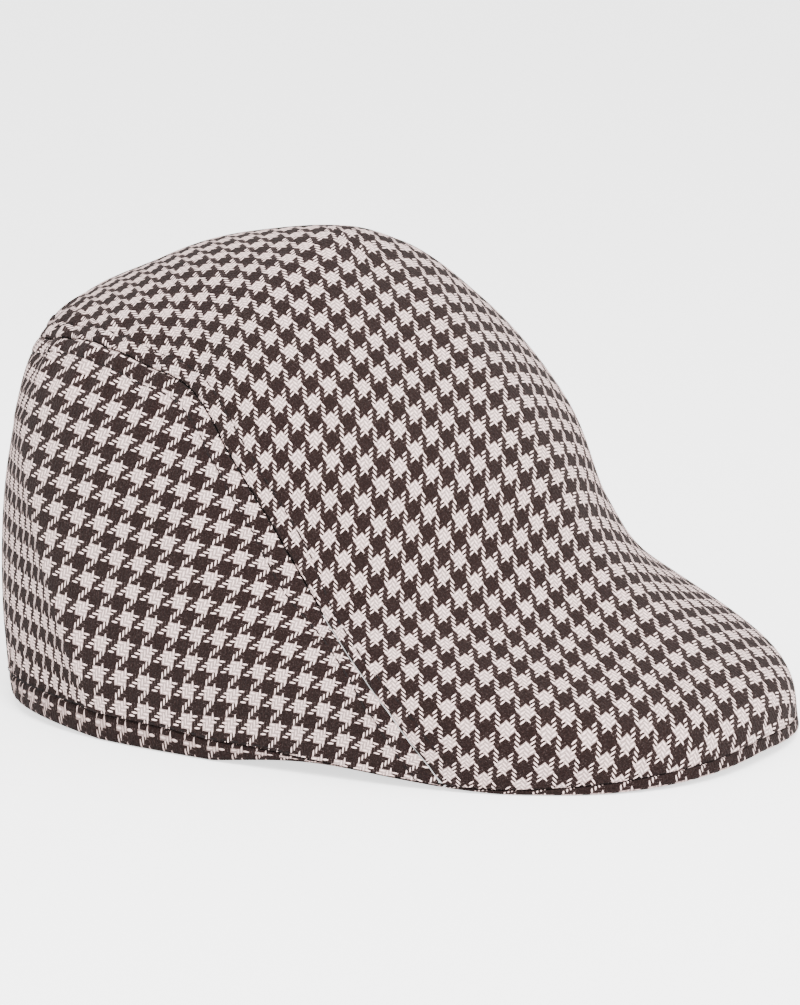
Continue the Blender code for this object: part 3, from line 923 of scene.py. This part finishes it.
def sewing_path(lines, lengths, stitch_away=None):
    """Points, out directions and along directions of a line of sewing."""
    levels = lines.level_at(lengths)
    outs = cap_normal(lines.angles, levels)
    points = cap_point(lines.angles, levels)
    if stitch_away is not None:
        points = points + seam_relief(points, stitch_away)[:, None] * outs
    along = np.gradient(points, axis=0)
    along /= np.linalg.norm(along, axis=1, keepdims=True)
    return points + MOVE, outs, along


def sew(name, path, tree, material):
    """Row of stitches along a path, as one plain mesh."""
    points, outs, along = path
    mesh = bpy.data.meshes.new(name + "_path")
    mesh.from_pydata([tuple(point) for point in points],
                     [(i, i + 1) for i in range(len(points) - 1)], [])
    for key, values in (("out", outs), ("along", along)):
        attribute = mesh.attributes.new(key, "FLOAT_VECTOR", "POINT")
        attribute.data.foreach_set("vector", values.ravel())
    line = new_object(name + "_path", mesh)
    modifier = line.modifiers.new("stitches", "NODES")
    modifier.node_group = tree
    bpy.context.view_layer.update()
    evaluated = line.evaluated_get(bpy.context.evaluated_depsgraph_get())
    made = bpy.data.meshes.new_from_object(evaluated)
    made.name = name
    bpy.data.objects.remove(line)
    made.shade_smooth()
    for key in ("out", "along"):
        if key in made.attributes:
            made.attributes.remove(made.attributes[key])
    if not made.materials:
        made.materials.append(material)
    return new_object(name, made)


def make_stitches(tree, material):
    """Topstitches on both sides of the seams, and the row along the hem."""
    start = np.radians(TEMPLE + SEW_START)
    lines = Meridians(np.linspace(start, 2 * np.pi - start, SEW_POINTS))
    seam = lines.seam()
    lengths = seam + TOP_STITCH_AWAY * stretch_along(lines, seam)
    rows = [sew("topstitch_crown", sewing_path(lines, lengths, TOP_STITCH_AWAY), tree, material)]
    for name, side in (("topstitch_right", 1.0), ("topstitch_left", -1.0)):
        degrees = np.linspace(TEMPLE + SIDE_SEW_START, SIDE_SEW_END, SIDE_SEW_POINTS)
        lines = Meridians(side * np.radians(degrees))
        seam = lines.seam()
        lengths = seam - SIDE_STITCH_AWAY * stretch_along(lines, seam)
        first = np.argmax(lengths > lines.band() + SEAM_CLEAR)
        lines = Meridians(lines.angles[first:])
        path = sewing_path(lines, lengths[first:], SIDE_STITCH_AWAY)
        rows.append(sew(name, path, tree, material))
    lines = Meridians(np.radians(np.linspace(*HEM_SEWN, SEW_POINTS)))
    path = sewing_path(lines, lines.band() + HEM_STITCH_RISE)
    rows.append(sew("hem_stitch", path, tree, material))
    return rows


# Camera, from a fit of the cap's outline to the photograph
VIEW_TURN = 57.5            # degrees from the front to the wearer's right
VIEW_RISE = 12.0            # degrees above the horizon
VIEW_DISTANCE = 1.24
VIEW_PIVOT = (0.0, 0.0030, 0.0622)
VIEW_AIM = (0.0015, 0.0007, 0.0622)
LENS = 146.6
SKY = 1.85
LIT = (0.0, 0.0, 0.06)      # where the lamps point
LAMPS = (                   # name, place, size, watts
    ("key", (-0.95, -0.85, 1.4), 1.0, 80.0),
    ("side", (-1.6, 0.5, 0.7), 1.2, 9.0),
    ("front", (0.7, -1.6, 0.8), 1.2, 21.0),
)
WHITE = (1.0, 1.0, 1.0, 1.0)
FLOOR_COLOUR = (0.92, 0.92, 0.92, 1.0)
FLOOR_SIZE = 6.0
FLOOR_GAP = 0.0002
FLOOR_LIFT = 1.6            # light that only the camera sees, for a paler floor


def make_camera():
    turn, rise = np.radians(VIEW_TURN), np.radians(VIEW_RISE)
    back = np.array([-np.sin(turn) * np.cos(rise), -np.cos(turn) * np.cos(rise), np.sin(rise)])
    camera = new_object("camera", bpy.data.cameras.new("camera"))
    camera.location = Vector(np.array(VIEW_PIVOT) + VIEW_DISTANCE * back)
    gaze = Vector(VIEW_AIM) - camera.location
    camera.rotation_euler = gaze.to_track_quat("-Z", "Y").to_euler()
    camera.data.lens = LENS
    camera.data.sensor_width = 36.0
    camera.data.clip_start = 0.01
    camera.data.clip_end = 20.0
    bpy.context.scene.camera = camera


def make_light(name, place, size, power):
    light = bpy.data.lights.new(name, "AREA")
    light.shape = "DISK"
    light.size = size
    light.energy = power
    lamp = new_object(name, light)
    lamp.location = place
    lamp.rotation_euler = (Vector(LIT) - Vector(place)).to_track_quat("-Z", "Y").to_euler()


def make_studio():
    world = bpy.data.worlds.new("studio")
    bpy.context.scene.world = world
    world.use_nodes = True
    sky = world.node_tree.nodes["Background"]
    Wires(world.node_tree).put(sky.inputs, {"Color": WHITE, "Strength": SKY})
    for name, place, size, power in LAMPS:
        make_light(name, place, size, power)
    mesh = bpy.data.meshes.new("floor")
    half = 0.5 * FLOOR_SIZE
    mesh.from_pydata([(-half, -half, -FLOOR_GAP), (half, -half, -FLOOR_GAP),
                      (half, half, -FLOOR_GAP), (-half, half, -FLOOR_GAP)], [], [(0, 1, 2, 3)])
    floor = new_object("floor", mesh)
    material, w, shader = new_material("floor")
    seen = w.node("ShaderNodeLightPath").outputs["Is Camera Ray"]
    w.put(shader, {"Base Color": FLOOR_COLOUR, "Roughness": 0.9,
                   "Emission Color": WHITE,
                   "Emission Strength": w.times(seen, FLOOR_LIFT)})
    mesh.materials.append(material)


def dress(piece, material, slot, *nodes):
    if material is not None:
        piece.data.materials.clear()
        piece.data.materials.append(material)
    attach(piece, "root")
    if nodes:
        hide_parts(*nodes)


def main():
    group = houndstooth_group()
    make_camera()
    make_studio()
    cloth = tweed("top_tweed", group)
    dress(make_top_panel(), cloth, "top_tweed", "top_panel")
    side_cloth = tweed("side_tweed", group)
    dress(make_side_panel("side_panel_right_cloth", 1.0), side_cloth, "side_tweed",
          "side_panel_right")
    dress(make_side_panel("side_panel_left_cloth", -1.0), side_cloth, "side_tweed",
          "side_panel_left")
    # The peak's edge and the hem get a darker light yarn: a duller cloth, with painted shade on
    # top.
    peak_cloth = tweed("peak_tweed", group, Light=PEAK_DULL_AND_SHADED_WOOL)
    dress(make_peak(), peak_cloth, "peak_tweed", "peak")
    hem_cloth = tweed("hem_tweed", group, Light=HEM_DULL_AND_SHADED_WOOL)
    dress(make_hem(), hem_cloth, "hem_tweed", "hem_band")
    thread = thread_material()
    for row in make_stitches(stitch_tree(thread), thread):
        dress(row, None, "hem_tweed")


main()
